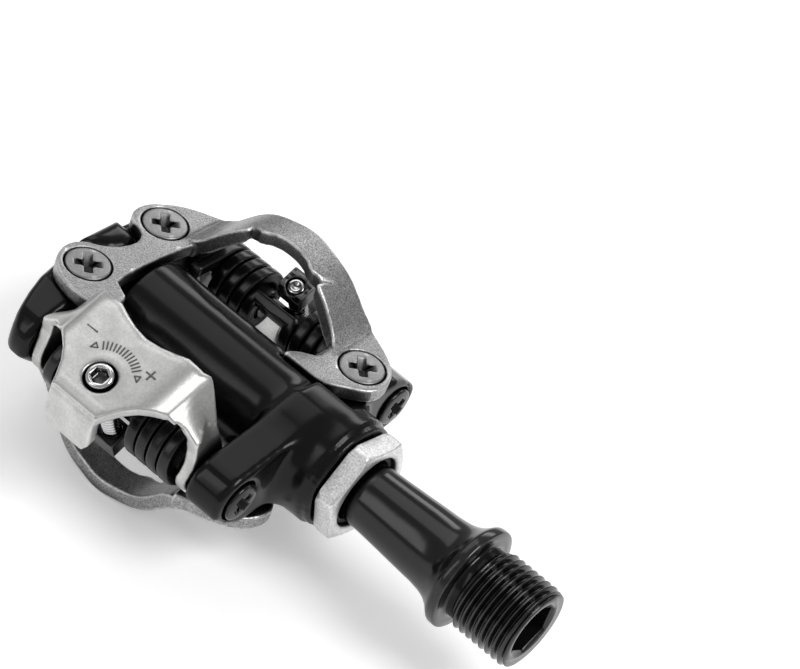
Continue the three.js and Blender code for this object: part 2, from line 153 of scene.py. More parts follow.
def solidOf(field, low, high, step):
    # One point in each grid box the surface passes through, at the mean of its edge crossings, moved onto the
    # zero of the field, and one four-sided face for each grid edge that the surface crosses.
    low, high = np.asarray(low, float), np.asarray(high, float)
    counts = np.ceil((high - low) / step).astype(int) + 1
    axes = [low[i] + step * np.arange(counts[i]) for i in range(3)]
    x, y, z = axes[0][:, None, None], axes[1][None, :, None], axes[2][None, None, :]
    f = np.ascontiguousarray(np.broadcast_to(field(x, y, z), tuple(counts)), dtype=float)
    f = np.where(f == 0, 1e-9, f)
    inside = f < 0
    sums = sum(inside[a:counts[0] - 1 + a, b:counts[1] - 1 + b, c:counts[2] - 1 + c].astype(np.int8)
               for a in (0, 1) for b in (0, 1) for c in (0, 1))
    cells = np.argwhere((sums > 0) & (sums < 8))
    number = np.full(tuple(counts - 1), -1)
    number[tuple(cells.T)] = np.arange(len(cells))
    total, hits = np.zeros((len(cells), 3)), np.zeros(len(cells))
    for axis in range(3):
        along = np.eye(3, dtype=int)[axis]
        for a in (0, 1):
            for b in (0, 1):
                start = np.insert([a, b], axis, 0)
                p, q = cells + start, cells + start + along
                fp, fq = f[tuple(p.T)], f[tuple(q.T)]
                hit = (fp < 0) != (fq < 0)
                t = np.where(hit, fp / np.where(hit, fp - fq, 1), 0)
                total += np.where(hit[:, None], start + along * t[:, None], 0)
                hits += hit
    points = low + (cells + total / hits[:, None]) * step
    for _ in range(2):
        place = np.clip((points - low) / step, 0, counts - 1.001)
        base = place.astype(int)
        w = place - base
        value, slope = np.zeros(len(points)), np.zeros((len(points), 3))
        for k in np.ndindex(2, 2, 2):
            k = np.array(k)
            corner = f[tuple((base + k).T)]
            share = np.where(k, w, 1 - w)
            value += corner * share.prod(1)
            for axis in range(3):
                slope[:, axis] += (2 * k[axis] - 1) * corner * np.delete(share, axis, 1).prod(1) / step
        move = value[:, None] * slope / np.maximum((slope ** 2).sum(-1), 0.25)[:, None]
        points -= np.clip(move, -step / 3, step / 3)
    faces = []
    for axis in range(3):
        along = np.eye(3, dtype=int)[axis]
        head = tuple(slice(None, -1) if i == axis else slice(1, -1) for i in range(3))
        tail = tuple(slice(1, None) if i == axis else slice(1, -1) for i in range(3))
        here, there = inside[head], inside[tail]
        for flip in (False, True):
            at = np.argwhere((here & ~there) if flip else (~here & there))
            at = at + np.where(np.arange(3) == axis, 0, 1)
            u, v = np.eye(3, dtype=int)[(axis + 1) % 3], np.eye(3, dtype=int)[(axis + 2) % 3]
            ring = [at - u - v, at - v, at, at - u]
            quad = np.stack([number[tuple(c.T)] for c in ring], -1)
            faces.append(quad if flip else quad[:, ::-1])
    return points, np.vstack(faces)


# Materials.
def newGroup(name, inputs, outputs):
    group = bpy.data.node_groups.new(name, "ShaderNodeTree")
    for label, kind, value in inputs:
        made = group.interface.new_socket(name=label, in_out="INPUT", socket_type=kind)
        if value is not None:
            made.default_value = value
    for label, kind in outputs:
        group.interface.new_socket(name=label, in_out="OUTPUT", socket_type=kind)
    return group, group.nodes.new("NodeGroupInput"), group.nodes.new("NodeGroupOutput")


def link(tree, *pairs):
    for start, end in pairs:
        tree.links.new(start, end)


def mathNode(tree, kind, *values):
    node = tree.nodes.new("ShaderNodeMath")
    node.operation = kind
    for socket, value in zip(node.inputs, values):
        if isinstance(value, (int, float)):
            socket.default_value = value
        else:
            tree.links.new(value, socket)
    return node.outputs[0]


# Fine grain: two sizes of noise, as a height and as a small change of shade.
def makeGrain():
    inputs = [("Size", "NodeSocketFloat", 0.0004), ("Depth", "NodeSocketFloat", 0.3)]
    outputs = [("Normal", "NodeSocketVector"), ("Shade", "NodeSocketFloat")]
    group, given, out = newGroup("fineGrain", inputs, outputs)
    place = group.nodes.new("ShaderNodeTexCoord").outputs["Object"]
    scale = mathNode(group, "DIVIDE", 1.0, given.outputs["Size"])
    fine, coarse = group.nodes.new("ShaderNodeTexNoise"), group.nodes.new("ShaderNodeTexNoise")
    fine.inputs["Detail"].default_value = 3.0
    coarse.inputs["Detail"].default_value = 2.0
    link(group, (place, fine.inputs["Vector"]), (place, coarse.inputs["Vector"]),
         (scale, fine.inputs["Scale"]),
         (mathNode(group, "MULTIPLY", scale, 0.23), coarse.inputs["Scale"]))
    swell = mathNode(group, "MULTIPLY", coarse.outputs["Fac"], 0.15)
    height = mathNode(group, "ADD", fine.outputs["Fac"], swell)
    bump = group.nodes.new("ShaderNodeBump")
    bump.inputs["Distance"].default_value = 0.00005
    contrast = group.nodes.new("ShaderNodeMapRange")
    contrast.inputs["From Min"].default_value, contrast.inputs["From Max"].default_value = 0.42, 0.74
    link(group, (height, bump.inputs["Height"]), (given.outputs["Depth"], bump.inputs["Strength"]),
         (bump.outputs["Normal"], out.inputs["Normal"]), (height, contrast.inputs["Value"]),
         (contrast.outputs["Result"], out.inputs["Shade"]))
    return group


# Handling: broad soft patches where a surface is a little duller or darker.
def makePatches():
    group, given, out = newGroup("softPatches", [("Size", "NodeSocketFloat", 0.012)],
                                 [("Mask", "NodeSocketFloat")])
    place = group.nodes.new("ShaderNodeTexCoord").outputs["Object"]
    noise = group.nodes.new("ShaderNodeTexNoise")
    noise.inputs["Detail"].default_value = 4.0
    ramp = group.nodes.new("ShaderNodeMapRange")
    ramp.inputs["From Min"].default_value, ramp.inputs["From Max"].default_value = 0.35, 0.7
    link(group, (place, noise.inputs["Vector"]),
         (mathNode(group, "DIVIDE", 1.0, given.outputs["Size"]), noise.inputs["Scale"]),
         (noise.outputs["Fac"], ramp.inputs["Value"]), (ramp.outputs["Result"], out.inputs["Mask"]))
    return group


# Edge wear and painted edge highlight: where the surface turns sharply outwards, broken up by noise.
def makeWearAndHighlight():
    group, given, out = newGroup("edgeWear", [("Amount", "NodeSocketFloat", 0.5)],
                                 [("Mask", "NodeSocketFloat")])
    point = group.nodes.new("ShaderNodeNewGeometry").outputs["Pointiness"]
    place = group.nodes.new("ShaderNodeTexCoord").outputs["Object"]
    noise = group.nodes.new("ShaderNodeTexNoise")
    noise.inputs["Scale"].default_value = 900
    ramp = group.nodes.new("ShaderNodeMapRange")
    ramp.inputs["From Min"].default_value, ramp.inputs["From Max"].default_value = 0.515, 0.565
    broken = mathNode(group, "MULTIPLY", ramp.outputs["Result"], noise.outputs["Fac"])
    link(group, (place, noise.inputs["Vector"]), (point, ramp.inputs["Value"]),
         (mathNode(group, "MULTIPLY", broken, given.outputs["Amount"]), out.inputs["Mask"]))
    return group


grainGroup, patchGroup, wearAndHighlightGroup = makeGrain(), makePatches(), makeWearAndHighlight()


def metalOf(name, look):
    # Base colour is the finish, darkened by grain, patches and painted shade in recesses, and brightened on
    # worn edges with a painted edge highlight.
    material = bpy.data.materials.new(name)
    material.use_nodes = True
    tree = material.node_tree
    shader = tree.nodes["Principled BSDF"]
    grain, patches, wear = (tree.nodes.new("ShaderNodeGroup") for _ in range(3))
    grain.node_tree, patches.node_tree, wear.node_tree = grainGroup, patchGroup, wearAndHighlightGroup
    grain.inputs["Size"].default_value = look["grainSize"]
    grain.inputs["Depth"].default_value = look["grainDepth"]
    patches.inputs["Size"].default_value = look.get("patchSize", 0.012)
    wear.inputs["Amount"].default_value = look.get("wear", 0.3)
    tones = []
    for factor, amount in ((grain.outputs["Shade"], look.get("shade", 0.1)),
                           (patches.outputs["Mask"], look.get("patch", 0.05))):
        tones.append(mathNode(tree, "SUBTRACT", 1.0, mathNode(tree, "MULTIPLY", factor, amount)))
    base = tree.nodes.new("ShaderNodeMix")
    base.data_type = "RGBA"
    base.inputs["A"].default_value = (0, 0, 0, 1)
    base.inputs["B"].default_value = (*look["color"], 1)
    # Sharp outward edges take a lighter colour: partly edge wear, partly a painted edge highlight.
    wornAndHighlight = tree.nodes.new("ShaderNodeMix")
    wornAndHighlight.data_type = "RGBA"
    wornAndHighlight.inputs["B"].default_value = (*look.get("wornColor", look["color"]), 1)
    # Painted shade in recesses: the share of a small hemisphere that is open, raised to a power, scales the
    # colour.
    hollow = tree.nodes.new("ShaderNodeAmbientOcclusion")
    hollow.samples = 6
    hollow.inputs["Distance"].default_value = 0.0022
    openness = mathNode(tree, "POWER", hollow.outputs["AO"], 1.0 + 2.0 * look.get("soot", 0.3))
    tone = mathNode(tree, "MULTIPLY", mathNode(tree, "MULTIPLY", *tones), openness)
    link(tree, (tone, base.inputs["Factor"]), (wear.outputs["Mask"], wornAndHighlight.inputs["Factor"]),
         (base.outputs["Result"], wornAndHighlight.inputs["A"]), (wornAndHighlight.outputs["Result"], shader.inputs["Base Color"]),
         (grain.outputs["Normal"], shader.inputs["Normal"]))
    duller = mathNode(tree, "MULTIPLY", patches.outputs["Mask"], look.get("patchRough", 0.06))
    rough = mathNode(tree, "ADD", look["roughness"], duller)
    link(tree, (rough, shader.inputs["Roughness"]))
    shader.inputs["Metallic"].default_value = look["metallic"]
    shader.inputs["Specular IOR Level"].default_value = look.get("specular", 0.5)
    return material


def grey(shade):
    return (shade, shade, shade)


# User-changeable values of each finish. Sizes are in metres; shade, edge wear with painted edge highlight,
# patch and painted recess shade are strengths.
finishes = {
    "castBlack": dict(
        color=(0.003, 0.0031, 0.0034), wornColor=(0.04, 0.04, 0.042), roughness=0.16, metallic=0.0,
        specular=0.22, grainSize=0.0009, grainDepth=0.08, shade=0.15, wear=0.4, soot=0.5),
    "blackSteel": dict(
        color=(0.007, 0.0072, 0.008), wornColor=(0.2, 0.2, 0.21), roughness=0.15, metallic=0.3,
        specular=0.5, grainSize=0.0005, grainDepth=0.06, shade=0.1, wear=0.3, soot=0.5),
    "springSteel": dict(
        color=(0.005, 0.0052, 0.006), wornColor=grey(0.08), roughness=0.22, metallic=0.15,
        specular=0.4, grainSize=0.0006, grainDepth=0.1, shade=0.2, wear=0.4, soot=0.8),
    "nutSteel": dict(
        color=(0.006, 0.0062, 0.007), wornColor=grey(0.5), roughness=0.2, metallic=0.3, specular=0.5,
        grainSize=0.0006, grainDepth=0.05, shade=0.1, wear=0.5, soot=0.5),
    "blastedSteel": dict(
        color=grey(0.44), wornColor=grey(0.95), roughness=0.36, metallic=0.95, grainSize=0.00024,
        grainDepth=1.0, shade=0.62, wear=1.5, patch=0.1, soot=1.0),
    "screwSteel": dict(
        color=grey(0.3), wornColor=grey(0.7), roughness=0.36, metallic=0.95, grainSize=0.00024,
        grainDepth=0.6, shade=0.3, wear=0.6, soot=1.6),
    "satinSteel": dict(
        color=(0.6, 0.6, 0.59), wornColor=grey(0.95), roughness=0.34, metallic=0.95, grainSize=0.0004,
        grainDepth=0.25, shade=0.14, wear=0.9, patch=0.14, patchSize=0.003, soot=1.2),
    "sleeveAluminium": dict(
        color=grey(0.85), wornColor=grey(0.97), roughness=0.4, metallic=0.85, grainSize=0.0003,
        grainDepth=1.0, shade=0.4, wear=0.9, soot=0.6),
    "boltChrome": dict(
        color=(0.72, 0.72, 0.73), roughness=0.12, metallic=1.0, grainSize=0.0005, grainDepth=0.04,
        shade=0.05, soot=1.2),
    "bearingSteel": dict(
        color=(0.7, 0.7, 0.72), roughness=0.12, metallic=1.0, grainSize=0.0008, grainDepth=0.03,
        shade=0.05),
    "sealRubber": dict(
        color=grey(0.005), roughness=0.55, metallic=0.0, specular=0.3, grainSize=0.0005,
        grainDepth=0.3, shade=0.2),
    "bushPlastic": dict(
        color=grey(0.02), roughness=0.6, metallic=0.0, grainSize=0.0006, grainDepth=0.15, shade=0.1),
    "engraving": dict(
        color=grey(0.13), roughness=0.5, metallic=0.6, grainSize=0.0004, grainDepth=0.1, shade=0.1),
}
materials = {name: metalOf(name, look) for name, look in finishes.items()}


def finishPiece(thing, finish, body, *nodes):
    thing.data.materials.clear()
    thing.data.materials.append(materials[finish])
    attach(thing, body)
    if nodes:
        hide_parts(*nodes)
    return thing


# The same shape on both faces of the pedal. Bodies and nodes are named by side.
def onBothSides(name, points, faces, finish, body, node=None, smooth=True):
    for side in sides:
        placed = points if side == "top" else turnedOver(points)
        thing = newMesh(f"{name}_{side}", placed, faces, smooth)
        finishPiece(thing, finish, body.format(side), *([f"{node}_{side}"] if node else []))


print("materials made:", len(materials))


# Axle.
axle = dict(threadRadius=7.14, pitch=1.27, threadDepth=0.72, threadStart=1.7, threadEnd=12.1, socketAcross=8.0)


def axleSurface():
    # A turned profile; over the thread, the radius rises and falls with x over pitch plus the share of a turn.
    body = [(-71.5, 3.0), (-71.1, 3.4), (-60, 3.4), (-58, 4.0), (-49.2, 4.0), (-47.6, 3.3), (-45.9, 3.3),
            (-44.2, 4.95), (-23.0, 4.95), (-21.6, 5.28), (-21.4, 5.3), (-18, 5.45), (-14, 5.72), (-10, 6.0),
            (-7.5, 6.15), (-5.5, 6.45), (-4.2, 6.85), (-3.1, 7.5), (-2.4, 8.1), (-1.95, 8.55), (-1.6, 8.82),
            (-1.25, 8.94), (-0.35, 8.94), (-0.12, 8.87), (0, 8.7), (0, 7.4), (-0.05, 6.6), (0.1, 6.35),
            (0.4, 6.3), (1.4, 6.3), (1.6, 6.35)]
    thread = np.arange(1.8, 12.0, 0.09)
    body += [(t, axle["threadRadius"]) for t in thread]
    body += [(12.05, 6.95), (12.2, 6.76), (12.2, 5.2)]
    start, end, crest = axle["threadStart"], axle["threadEnd"], axle["threadRadius"]

    def radiusOf(x, radius, angle):
        phase = (x / axle["pitch"] + angle / (2 * math.pi)) % 1.0
        tooth = np.clip(np.abs(phase - 0.5) * 2 * 1.25 - 0.12, 0, 1)
        fade = np.clip((x - start) / 0.8, 0, 1) * np.clip((end - x) / 0.5, 0, 1)
        lead = np.clip((12.2 - x) / 0.9, 0, 1) ** 0.5 * 0.35 + (crest - 0.35)
        cut = crest - axle["threadDepth"] * tooth
        threaded = np.where(fade < 1, np.minimum(cut, 6.4 + fade * 0.8), cut)
        return np.where((x > start) & (x < end), np.minimum(threaded, lead), radius)

    columns = 144
    points, faces = latheAlongX(body, columns, False, radiusOf)
    faces = faces[:-1]  # the crank end is open for the socket
    angle = np.linspace(0, 2 * math.pi, columns, endpoint=False)
    hexRadius = axle["socketAcross"] / 2 / np.cos((angle + math.pi / 6) % (math.pi / 3) - math.pi / 6)
    rings = []
    for x, ring in ((12.2, 5.0), (12.1, 4.85), (11.8, hexRadius + 0.02), (11.6, hexRadius), (4.4, hexRadius),
                    (4.2, hexRadius - 0.15), (4.2, hexRadius * 0.5)):
        rings.append(np.stack([np.full(columns, x), ring * np.cos(angle), ring * np.sin(angle)], -1))
    faces += (gridFaces(len(rings) + 1, columns) + len(points) - columns).tolist()
    points = np.vstack([points] + rings)
    faces.append(list(range(len(points) - columns, len(points))))
    return points, faces


finishPiece(newMesh("axleShaft", *axleSurface()), "blackSteel", "axle", "axle")

sleeve = dict(acrossFlats=16.0, cornerRadius=9.25, turn=49.7)


def sleeveSurface():
    # Outside, the lesser of a hexagon's radius at that angle and a chamfer cone; inside, a stepped bore.
    profile = [(-38, 6.5), (-25.6, 6.5), (-25.3, 6.55), (-25.2, 8.0), (-25.2, 8.7), (-25.1, 8.85),
               (-24.95, 9.0), (-24.4, 9.25), (-22.5, 9.25), (-22.2, 9.1), (-21.95, 8.6), (-21.75, 8.1),
               (-21.7, 7.9), (-21.7, 6.9), (-21.8, 6.6), (-22.1, 6.5), (-24.8, 6.5), (-24.9, 6.4),
               (-25.0, 5.4), (-26.7, 5.4), (-26.9, 5.8), (-38, 5.8)]

    def radiusOf(x, radius, angle):
        turned = angle - math.radians(sleeve["turn"])
        hexagon = sleeve["acrossFlats"] / 2 / np.cos((turned + math.pi / 3) % (math.pi / 3) - math.pi / 6)
        corner = np.minimum(hexagon, sleeve["cornerRadius"])
        return np.where(radius > 7.85, np.minimum(radius, corner), radius)

    return latheAlongX(profile, 192, True, radiusOf)


finishPiece(newMesh("lockSleeve", *sleeveSurface()), "sleeveAluminium", "body", "axle_lock_sleeve")
print("axle and lock sleeve made")


# Cast body.
screwPlaces = (("outer_front", -76.07, 8.5), ("outer_rear", -75.95, -9.38), ("inner_front", -35.97, 11.37))
cast = dict(step=0.42, bossRadius=9.7, barrelRadius=8.8, pivotY=18.2, pivotZ=0.4, seatZ=6.3, fillet=2.6,
            pinHole=1.75, pinHeadRoom=3.6, screwHole=2.05)


def arcPoints(cy, cz, radius, start, end, count):
    angle = np.radians(np.linspace(start, end, count))
    return np.stack([cy + radius * np.cos(angle), cz + radius * np.sin(angle)], -1).tolist()


def twice(half):
    return half + [[-y, -z] for y, z in half]


def bodyField(x, y, z):
    # Turned and cast lumps melted together, with pockets, the axle's housing, pin holes and screw holes carved
    # out of them.
    seat = cast["seatZ"]
    radius = np.hypot(y, z)
    barrel = crossed(radius - cast["barrelRadius"], between(x, -70, -30), 0.6)
    boss = crossed(radius - cast["bossRadius"], between(x, -26.9, -37.5), 0.5)
    collar = crossed(radius - 9.2, between(x, -25.6, -28), 0.3)
    core = crossed(radius - 6.2, between(x, -69, -75), 0.2)
    innerLine = twice(arcPoints(cast["pivotY"], cast["pivotZ"], 5.2, -75, 20, 9)
                      + [[20.3, 4.4], [16.9, seat], [2.5, seat], [-2.5, 8.6], [-6.5, 7.2]])
    outerLine = twice(arcPoints(cast["pivotY"], cast["pivotZ"], 5.4, -78, 20, 9)
                      + [[20.6, 4.4], [17.4, seat], [-14.8, seat]])
    inner = crossed(toPolygon(y, z, innerLine), between(x, -38.8, -32), 0.9)
    plan = [[-72.9, 26], [-75.6, 26], [-78.9, 19.4], [-80.7, 13], [-82, 5], [-82, -5], [-80.7, -13],
            [-78.9, -19.4], [-75.6, -26], [-72.9, -26]]
    swell = toPolygon(x, y, softened(plan, 1))
    outer = crossed(toPolygon(y, z, outerLine), swell, 1.3)
    step = [[-82, -5], [-79.4, -4.7], [-77.1, -2.4], [-76.0, 0.6], [-76.6, 3.0], [-77.9, 3.8], [-82, 3.9]]
    top = crossed(toPolygon(x, y, step), between(z, 3, 8.4), 2.2)
    under = crossed(toPolygon(x, -y, step), between(z, -8.4, -3), 2.2)
    whole = melted(melted(barrel, boss, 1.6), inner, cast["fillet"])
    whole = melted(np.minimum(whole, collar), melted(core, outer, 1.0), 0.8)
    whole = melted(melted(whole, top, 0.5), under, 0.5)
    whole = crossed(whole, -81.95 - x, 0.3)
    for side in (1, -1):
        pocket = np.maximum(np.maximum(between(x, -45.8, -30.4), between(side * y, 2.5, 9.8)), 7.45 - radius)
        whole = carved(whole, np.maximum(pocket, seat - side * z), 0.1)
    housing = np.minimum(barX(x, y, z, -69.6, -20, 6.8, edge=0.1), barX(x, y, z, -72.2, -60, 5.2, edge=0.1))
    whole = carved(whole, housing, 0.3)
    for side in (1, -1):
        at = (side * cast["pivotY"], side * cast["pivotZ"])
        whole = carved(whole, barX(x, y, z, -77.7, -20, cast["pinHole"], at, 0.1), 0.1)
        whole = carved(whole, barX(x, y, z, -33.5, -20, cast["pinHeadRoom"], at, 0.1), 0.3)
        for name, sx, sy in screwPlaces:
            hole = np.maximum(np.hypot(x - sx, y - side * sy) - cast["screwHole"], 1.1 - side * z)
            whole = carved(whole, hole, 0.1)
    return whole


points, faces = solidOf(bodyField, (-83, -25, -10.6), (-25, 25, 10.6), cast["step"])
finishPiece(newMesh("castBody", points, faces), "castBlack", "body", "pedal_body")
print("cast body made:", len(faces), "faces")


# Front binding: a bent plate with a raised loop.
binding = dict(top=9.09, thickness=2.5, edge=0.35, step=0.27, holeRadius=2.2, sinkRadius=3.92)
outerPlate = [
    [-70.4, 18.3], [-71.6, 17.7], [-75.3, 15.8], [-78, 13.8], [-79.4, 12], [-80.7, 10.2], [-81.3, 8],
    [-81.0, 6], [-79.6, 4.3], [-77.6, 4.1], [-76, 3.2], [-75.3, 0.6], [-76.5, -2.7], [-78.5, -4.9],
    [-79.9, -5.7], [-81.1, -8], [-80.9, -10.6], [-79.5, -13.1], [-77.7, -14.6], [-74.5, -15.6],
    [-70.7, -15.7], [-67.6, -14.6], [-66.9, -12.2], [-67.1, -9.7], [-69, -8.9], [-70.9, -8.0],
    [-71.0, 0], [-70.3, 8.5], [-69.4, 8.8], [-69.4, 18.4]]
innerPlate = [
    [-42.6, 20], [-40.8, 19.3], [-37.5, 18], [-34.6, 16.5], [-32.2, 14.6], [-30.9, 11.5], [-31.1, 9],
    [-32.3, 7.3], [-34, 5.9], [-35.8, 4.3], [-37.5, 3.2], [-43.8, 3.1], [-45.4, 2.9], [-44.8, 4.5],
    [-43.3, 6], [-41.6, 7.2], [-41.8, 9.6], [-42.8, 11.3]]
loopHeight = [(0, 17.8), (4, 17.3), (7, 16.4), (9, 15.2), (11, 13.3), (14.4, 9.09), (20, 9.09)]
loopPlan = [
    [-16, 17.0], [-14.4, 18.3], [-11, 18.5], [-7, 18.9], [-4, 19.1], [0, 19.6], [4, 19.1], [7, 18.9],
    [11, 19.2], [14.4, 20], [16, 18.4], [16, 9.5], [14.4, 10.2], [13, 11.4], [10, 11.5], [8, 11.6],
    [7.1, 12.1], [7.2, 13.0], [6.4, 13.2], [5, 12.6], [2.75, 13.9], [-2.75, 13.9], [-5, 12.6],
    [-6.4, 13.2], [-7.2, 13.0], [-7.1, 12.1], [-8, 11.2], [-10, 10.4], [-13, 9.3], [-14.4, 8.7],
    [-16, 8.6]]
loopCrease = [(6.9, 12.6), (7.6, 14.0), (8.0, 14.6)]


def midLine(points, thickness):
    # The line half a thickness under the given one, along its own normals.
    line = np.asarray(points, float)
    run = np.gradient(line, axis=0)
    run /= np.linalg.norm(run, axis=1)[:, None]
    return line + np.stack([run[:, 1], -run[:, 0]], -1) * thickness / 2


def bindingField(x, y, z):
    # Two flat plates joined by an arch. The arch is a line across the pedal, thickened, cut to the loop's
    # outline and creased; holes for the screws are carved out, wider above.
    half, edge = binding["thickness"] / 2, binding["edge"]
    height = softened([(-d, h) for d, h in loopHeight[:0:-1]] + loopHeight, 2)
    arch = toLine(x - middleX, z, midLine(height, binding["thickness"])) - half
    crease = toLine(np.abs(x - middleX), y, loopCrease)
    arch = arch + 0.35 * np.exp(-(crease / 0.4) ** 2) * np.clip((15.2 - y) / 2.2, 0, 1)
    loop = crossed(toPolygon(x - middleX, y, softened(loopPlan, 1, True)), arch, edge)
    slab = np.abs(z - binding["top"] + half) - half
    flat = np.minimum(crossed(toPolygon(x, y, softened(outerPlate, 1, True)), slab, edge),
                      crossed(toPolygon(x, y, softened(innerPlate, 1, True)), slab, edge))
    whole = melted(flat, loop, 0.35)
    whole = np.where((x > -50) & (y < 6), np.maximum(whole, 7.85 - np.hypot(y, z)), whole)
    for name, sx, sy in screwPlaces:
        away = np.hypot(x - sx, y - sy)
        whole = carved(whole, away - binding["holeRadius"], 0.1)
        whole = carved(whole, np.maximum(away - binding["sinkRadius"], 7.7 - z), 0.25)
    return whole


points, faces = solidOf(bindingField, (-82, -17, 5.8), (-30, 21, 18.4), binding["step"])
onBothSides("frontBinding", points, faces, "blastedSteel", "body", "front_binding")
print("front bindings made:", len(faces), "faces each")


# Screws, pins and bolts.
def headField(x, y, z, spec, length):
    # Head top at zero height, shank below it; the recess is a cross whose arms taper inwards.
    radius, height, reach, depth = spec["radius"], spec["height"], spec["reach"], spec["depth"]
    away = np.hypot(x, y)
    head = crossed(away - radius, between(z + spec["dome"] * (away / radius) ** 2, -height, 0), 0.3)
    stem = crossed(away - spec["shank"], between(z, -length, -height / 2), 0.2)
    whole = np.minimum(head, stem)
    sink = (z + depth) / depth
    for a, b in ((x + y, x - y), (x - y, x + y)):
        arm = np.maximum(np.abs(a) / math.sqrt(2) - (0.55 + 0.15 * sink),
                         np.abs(b) / math.sqrt(2) - (0.7 + (reach - 0.7) * sink))
        whole = carved(whole, np.maximum(arm, -depth - z), 0.12)
    return carved(whole, np.maximum(away - (0.5 + 0.75 * sink), -depth - z), 0.12)


screw = dict(top=9.25, radius=3.7, height=1.35, shank=1.9, length=7.75, reach=2.35, depth=1.5, dome=0.12)
pinHead = dict(face=-31.2, radius=3.3, height=2.0, shank=1.6, length=46.3, reach=2.1, depth=1.4, dome=0.3)


def screwPoints(spec, shankLength):
    span = spec["radius"] + 0.6
    return solidOf(lambda x, y, z: headField(x, y, z, spec, shankLength),
                   (-span, -span, -shankLength - 0.5), (span, span, 0.6), 0.16)


screwShape, screwFaces = screwPoints(screw, screw["length"])
for name, sx, sy in screwPlaces:
    label = "screw" + "".join(word.capitalize() for word in name.split("_"))
    onBothSides(label, screwShape + (sx, sy, screw["top"]), screwFaces, "screwSteel", "body", f"screw_{name}")

# The pin lies along X, its head towards the crank: height becomes x.
pinShape, pinFaces = screwPoints(pinHead, 6.0)
pinShape = np.where(pinShape[:, 2:] < -5, pinShape + (0, 0, 6.0 - pinHead["length"]), pinShape)
pinPlaced = pinShape[:, [2, 0, 1]] + (pinHead["face"], -cast["pivotY"], -cast["pivotZ"])
onBothSides("pivotPin", pinPlaced, pinFaces, "blackSteel", "body", "pivot_pin")

bolt = dict(y=-28.15, z=11.26, tilt=27.3, keyAcross=2.5, pitch=0.8)


def boltSurface():
    # A turned profile about Z with a threaded shank, closed above by a hexagon socket.
    body = [(-19.85, 0.5), (-20, 0.65), (-20, 1.2), (-19.85, 1.4)]
    body += [(h, 1.5) for h in np.arange(-19.7, -2.6, 0.1)]
    body += [(-2.4, 1.5), (-1.75, 1.55), (-1.7, 1.7), (-1.7, 2.0), (-1.6, 2.16), (-1.45, 2.2), (-0.5, 2.2),
             (-0.25, 2.13), (-0.08, 1.98), (0, 1.8), (0, 1.62)]

    def radiusOf(h, radius, angle):
        tooth = np.abs(((h / bolt["pitch"] - angle / (2 * math.pi)) % 1.0) - 0.5) * 2
        return np.where((h < -2.55) & (h > -19.75), 1.55 - 0.32 * tooth, radius)

    columns = 60
    points, faces = latheAlongX(body, columns, False, radiusOf)
    faces = faces[:-1]
    angle = np.linspace(0, 2 * math.pi, columns, endpoint=False)
    key = bolt["keyAcross"] / 2 / np.cos((angle + math.pi / 6) % (math.pi / 3) - math.pi / 6)
    rings = [np.stack([np.full(columns, h), r * np.cos(angle), r * np.sin(angle)], -1)
             for h, r in ((-0.05, key + 0.1), (-0.15, key), (-1.45, key), (-1.5, key * 0.6))]
    faces += (gridFaces(len(rings) + 1, columns) + len(points) - columns).tolist()
    points = np.vstack([points] + rings)
    faces.append(list(range(len(points) - columns, len(points))))
    return points[:, [1, 2, 0]], faces


def ontoBolt(points):
    # Height runs along the bolt, tilted back from upright about X, from the top of its head.
    tilt = math.radians(bolt["tilt"])
    x, y, z = np.asarray(points).T
    return np.stack([x + middleX, y * math.cos(tilt) - z * math.sin(tilt) + bolt["y"],
                     y * math.sin(tilt) + z * math.cos(tilt) + bolt["z"]], -1)


boltPoints, boltFaces = boltSurface()
onBothSides("tensionBolt", ontoBolt(boltPoints), boltFaces, "boltChrome", "bolt_{}", "tension_bolt")


def nutField(x, y, z):
    # A block whose section is an outline, with the bolt's hole carved through it.
    block = [[-2.6, -20.2], [1.2, -20.2], [2.0, -19.4], [2.0, -16.9], [-2.6, -16.9]]
    whole = crossed(toPolygon(y, z, block), between(x, -2.5, 2.5), 0.22)
    return carved(whole, np.hypot(x, y) - 1.62, 0.2)


nutPoints, nutFaces = solidOf(nutField, (-3.2, -3.4, -21), (3.2, 4.2, -16.2), 0.2)
onBothSides("tensionNut", ontoBolt(nutPoints), nutFaces, "nutSteel", "nut_{}", "tension_nut")
print("screws, pins, bolts and nuts made")


# Torsion springs.
spring = dict(wire=1.0, columns=40, perTurn=36, coil=4.1, pitch=2.3, inner=3.8, turns=3.87, legEnd=9.3,
              start=-0.747)


